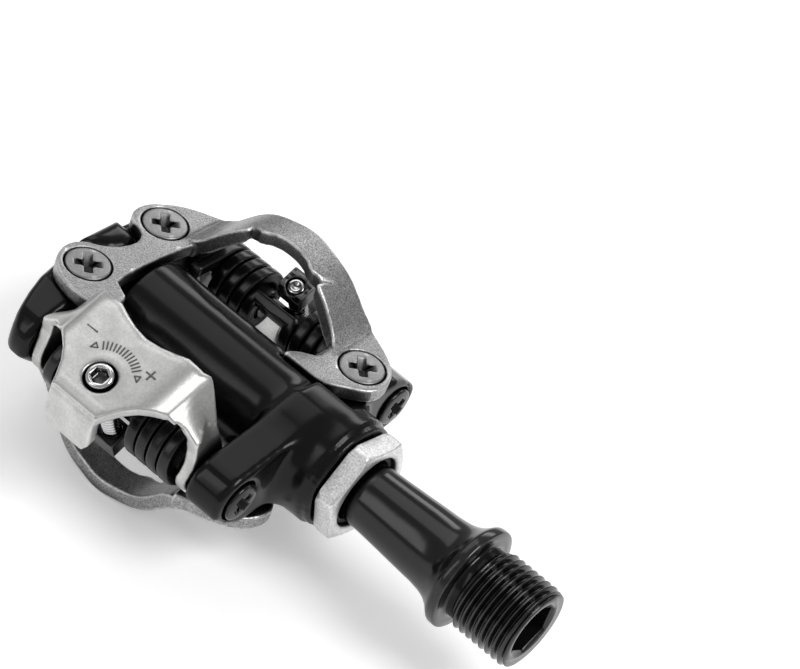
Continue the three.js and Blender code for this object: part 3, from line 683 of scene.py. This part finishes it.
def springSurface():
    # The wire's section carried along a line: a leg, a coil, a bridge, a coil and a leg. The section is a
    # square with round corners: the sixth powers of the sine and cosine, summed, to the power of minus a sixth.
    columns, count = spring["columns"], int(spring["turns"] * spring["perTurn"])
    turn = np.linspace(0, spring["turns"], count)
    angle = spring["start"] + turn * 2 * math.pi
    coil = np.stack([spring["inner"] + turn * spring["pitch"], spring["coil"] * np.cos(angle),
                     spring["coil"] * np.sin(angle)], -1)
    end = coil[-1]
    leg = np.stack([np.full(8, end[0]), np.linspace(end[1] + 0.7, spring["legEnd"], 8), np.full(8, end[2])], -1)
    half = np.vstack([coil, leg])
    first = coil[0] * (0, 1, 1)
    line = np.vstack([half[::-1] * (-1, 1, 1), [first], half])
    run = np.gradient(line, axis=0)
    run /= np.linalg.norm(run, axis=1)[:, None]
    outward = line * (0, 1, 1)
    outward -= run * (outward * run).sum(1)[:, None]
    outward /= np.linalg.norm(outward, axis=1)[:, None]
    side = np.cross(run, outward)
    around = np.linspace(0, 2 * math.pi, columns, endpoint=False)
    reach = spring["wire"] * (np.cos(around) ** 6 + np.sin(around) ** 6) ** (-1 / 6)
    ring = (outward[:, None] * (reach * np.cos(around))[None, :, None]
            + side[:, None] * (reach * np.sin(around))[None, :, None])
    points = (line[:, None] + ring).reshape(-1, 3)
    faces = gridFaces(len(line), columns).tolist()
    faces += [list(range(columns - 1, -1, -1)), list(range(len(points) - columns, len(points)))]
    return points + (middleX, -cast["pivotY"], -cast["pivotZ"]), faces


springPoints, springFaces = springSurface()
onBothSides("torsionSpring", springPoints, springFaces, "springSteel", "body", "torsion_spring")
print("springs made")


# Rear claws.
claw = dict(tilt=23.7, y=-23.1, z=12.8, thickness=2.0, edge=0.35, step=0.26, seatRadius=4.0, boltHole=1.65,
            boltHeadRoom=2.6, pinHole=1.7)
clawSection = [(0, 0), (6.7, 0), (9.3, -0.4), (11.3, -1.5), (13.4, -5.2), (15.2, -8.2), (16.5, -12),
               (16.6, -22)]
clawFront = ([0, 5, 7, 10, 11.2, 30], [4.5, 5.6, 6.4, 6.4, 7.1, 7.1])


# An offset turned back by an angle in degrees, from outer axes to those of a tilted piece.
def levelled(y, z, degrees):
    c, s = math.cos(math.radians(degrees)), math.sin(math.radians(degrees))
    return y * c + z * s, z * c - y * s


def clawField(s, v, n):
    # A bent sheet: its section is a line across the claw, which spreads towards the rear and dips at the front
    # lip. The outline cuts it to shape, and the tongue, the seat and the holes of the bolt and the pin follow.
    d = np.abs(s)
    rearward = np.clip((3.5 - v) / 5.0, 0, 1)
    rearward = rearward * rearward * (3 - 2 * rearward)
    spread = np.interp(n, [-14, -13, -10, -8, -5.75, -1.8, 0], [0, 0.1, 0.9, 1.6, 2.7, 0, 0]) * rearward
    dip = 0.6 * np.clip((v - np.interp(d, *clawFront) + 1.8) / 1.8, 0, 1) ** 2
    half = claw["thickness"] / 2
    line = midLine(softened([(-a, b) for a, b in clawSection[:0:-1]] + clawSection, 2), claw["thickness"])
    line = line[line[:, 0] >= 0]
    line = np.vstack([[0, line[0, 1]], line])
    sheet = toLine(np.maximum(d - spread, 0), n + dip * (d < 14), line) - half
    side = [[9, -2.2], [7.1, -2.2], [4.6, -7], [4.0, -8.3], [3.8, -10]]
    side += arcPoints(-0.8, -14.1, 4.3, 0, -200, 16)
    side += [[-3.1, -10.2], [-2.2, -8], [-1.8, -5.9], [-1.5, -4.0], [-2.0, -2.9], [-16, -2.7], [-16, 3], [9, 3]]
    plan = [[-18, 9], [-18, -20], [-13, -20], [-13, -2.5], [-11.35, -2.5], [-9.7, -3.7], [-7.95, -5.2],
            [-6.5, -7.0], [-5.2, -9.4], [-4.6, -10.8], [4.6, -10.8], [5.2, -9.4], [6.5, -7.0], [7.95, -5.2],
            [9.7, -3.7], [11.35, -2.5], [13, -2.5], [13, -20], [18, -20], [18, 9], [11.6, 7.0],
            [11, 7.1], [10, 6.5], [7, 6.4], [5, 5.6], [2.6, 4.8], [0, 4.5], [-2.6, 4.8], [-5, 5.6],
            [-7, 6.4], [-10, 6.5], [-11, 7.1], [-11.6, 7.0]]
    outline = np.maximum(toPolygon(v, n, side), toPolygon(s, v, plan))
    whole = crossed(sheet, outline, claw["edge"])
    fold = softened([(-14.0, -9), (-13.5, -7.1), (-11.9, -1.7), (-10.6, -0.1), (-9, 0), (-6, 0)], 2)
    tongue = toLine(v, n, midLine(fold, claw["thickness"])) - half
    edges = toPolygon(s, n, [[-4.6, 3], [-4.6, -5.6], [-3.6, -7.1], [3.6, -7.1], [4.6, -5.6], [4.6, 3]])
    whole = melted(whole, crossed(tongue, np.maximum(edges, v + 8.6), claw["edge"]), 0.25)
    boltV, boltN = levelled(bolt["y"] - claw["y"], bolt["z"] - claw["z"], claw["tilt"])
    across, height = levelled(v - boltV, n - boltN, bolt["tilt"] - claw["tilt"])
    away = np.hypot(s, across)
    whole = melted(whole, crossed(away - claw["seatRadius"], between(height, -3.5, -1.0), 0.4), 0.5)
    whole = carved(whole, away - claw["boltHole"], 0.1)
    whole = carved(whole, np.maximum(away - claw["boltHeadRoom"], -2.0 - height), 0.2)
    return carved(whole, np.hypot(v + 0.8, n + 14.1) - claw["pinHole"], 0.1)


def ontoClaw(points):
    # Across, rearward and upward of the claw, tilted about X and set on its place.
    tilt = math.radians(claw["tilt"])
    s, v, n = np.asarray(points).T
    return np.stack([s + middleX, v * math.cos(tilt) - n * math.sin(tilt) + claw["y"],
                     v * math.sin(tilt) + n * math.cos(tilt) + claw["z"]], -1)


clawPoints, clawFaces = solidOf(clawField, (-17.6, -14.6, -19.2), (17.6, 8, 1.2), claw["step"])
onBothSides("rearClaw", ontoClaw(clawPoints), clawFaces, "satinSteel", "claw_{}", "rear_claw")
print("rear claws made:", len(clawFaces), "faces each")


# The tension scale: short ticks round the bolt, an arrowhead at each end, a minus and a plus.
scale = dict(centreV=-5.24, radius=5.5, tickLength=1.4, tickWidth=0.18, lineWidth=0.16, ticks=13,
             span=(54, 130), arrows=((34, -90), (150, 90)), minus=(-6.9, 0.0), plus=(5.3, 0.1))


def scaleSurface():
    # Thin bars laid on the claw: ticks are spread evenly over a span of angles and point at the bolt.
    boxes = []

    def bar(cx, cy, angle, length, width):
        boxes.append((cx, cy, math.radians(angle), length, width))

    for angle in np.linspace(*scale["span"], scale["ticks"]):
        a = math.radians(angle)
        bar(scale["radius"] * math.cos(a), scale["centreV"] + scale["radius"] * math.sin(a), angle,
            scale["tickLength"], scale["tickWidth"])
    # Each arrowhead is a triangle of three bars, two leaning back from its tip and one across behind it.
    for angle, way in scale["arrows"]:
        a = math.radians(angle)
        tipX, tipV = scale["radius"] * math.cos(a), scale["centreV"] + scale["radius"] * math.sin(a)
        for lean, reach, turned, length in ((-25, 0.55, 0, 1.2), (25, 0.55, 0, 1.2), (0, 1.0, 90, 1.0)):
            b = math.radians(angle + way + lean)
            bar(tipX - reach * math.cos(b), tipV - reach * math.sin(b), angle + way + lean + turned, length,
                scale["lineWidth"])
    bar(*scale["minus"], 0, 2.2, 0.2)
    for angle in (0, 90):
        bar(*scale["plus"], angle, 1.9, 0.2)
    square = [(-1, -1), (1, -1), (1, 1), (-1, 1)]
    corners = np.array([(*corner, level) for level in (-1, 1) for corner in square]) / 2
    sixFaces = np.array([[0, 3, 2, 1], [4, 5, 6, 7], [0, 1, 5, 4], [1, 2, 6, 5], [2, 3, 7, 6], [3, 0, 4, 7]])
    points, faces = [], []
    for i, (cx, cy, angle, length, width) in enumerate(boxes):
        local = corners * (length, width, 0.4)
        x = local[:, 0] * math.cos(angle) - local[:, 1] * math.sin(angle) + cx
        y = local[:, 0] * math.sin(angle) + local[:, 1] * math.cos(angle) + cy
        lift = np.interp(np.abs(x), [0, 5, 6.7, 9.3], [0, 0, -0.04, -0.4])
        points.append(np.stack([x, y, local[:, 2] - 0.15 + lift], -1))
        faces.append(sixFaces + 8 * i)
    return np.vstack(points), np.vstack(faces)


scalePoints, scaleFaces = scaleSurface()
onBothSides("tensionScale", ontoClaw(scalePoints), scaleFaces, "engraving", "claw_{}", smooth=False)

# Pieces kept as they are in the engineering model.
keptFinish = {"dust_seal": "sealRubber", "plain_bush": "bushPlastic", "bearing_tube": "bearingSteel",
              "cone_washer": "bearingSteel"}
for name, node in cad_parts.items():
    finish = keptFinish.get(name, "bearingSteel" if name.startswith("ball_") else "blackSteel")
    node.data.materials.clear()
    node.data.materials.append(materials[finish])
print("kept nodes given their finishes")

# Floor, light and camera.
studio = dict(floorShade=(0.9, 0.9, 0.9), worldShade=1.0, worldStrength=0.36, floorGlow=0.32,
              floorReach=2000, floorHeight=-17.85)
floorCorners = np.array([[-1, -1, 0], [1, -1, 0], [1, 1, 0], [-1, 1, 0]]) * studio["floorReach"]
floor = newMesh("studioFloor", floorCorners + (0, 0, studio["floorHeight"]), [[0, 1, 2, 3]], False)
floorMaterial = bpy.data.materials.new("floorPaper")
floorMaterial.use_nodes = True
paper = floorMaterial.node_tree.nodes["Principled BSDF"].inputs
paper["Base Color"].default_value = (*studio["floorShade"], 1)
paper["Roughness"].default_value = 0.9
paper["Emission Color"].default_value = (1, 1, 1, 1)
paper["Emission Strength"].default_value = studio["floorGlow"]
floor.data.materials.append(floorMaterial)


def areaLight(name, place, target, width, height, power):
    light = bpy.data.lights.new(name, "AREA")
    light.shape = "RECTANGLE"
    light.size, light.size_y, light.energy = width, height, power
    thing = bpy.data.objects.new(name, light)
    thing.location = place
    thing.rotation_euler = (Vector(target) - Vector(place)).to_track_quat("-Z", "Y").to_euler()
    bpy.context.scene.collection.objects.link(thing)


centre = (-0.04, 0, 0)
areaLight("keyLight", (0.36, 0.04, 0.56), centre, 0.32, 0.32, 2.6)
areaLight("topLight", (-0.42, 0.1, 0.5), centre, 0.4, 0.5, 0.8)
areaLight("backLight", (-0.25, 0.62, 0.42), centre, 0.5, 0.2, 1.1)
areaLight("frontLight", (-0.3, -0.5, 0.35), centre, 0.12, 0.5, 0.45)

world = bpy.data.worlds.new("studioAir")
world.use_nodes = True
world.node_tree.nodes["Background"].inputs["Color"].default_value = (studio["worldShade"],) * 3 + (1,)
world.node_tree.nodes["Background"].inputs["Strength"].default_value = studio["worldStrength"]
bpy.context.scene.world = world

camera = bpy.data.objects.new("productCamera", bpy.data.cameras.new("productCamera"))
camera.data.lens = 159.7
camera.data.sensor_width = 36
camera.data.clip_start, camera.data.clip_end = 0.01, 20
right, up, back = Vector((0.731, 0.621, 0.282)), Vector((-0.587, 0.361, 0.725)), Vector((0.348, -0.695, 0.629))
turn = Matrix((right, up, back)).transposed().to_4x4()
camera.matrix_world = Matrix.Translation((0.1553, -0.3627, 0.3575)) @ turn
bpy.context.scene.collection.objects.link(camera)
bpy.context.scene.camera = camera
bpy.context.scene.view_settings.view_transform = "Standard"
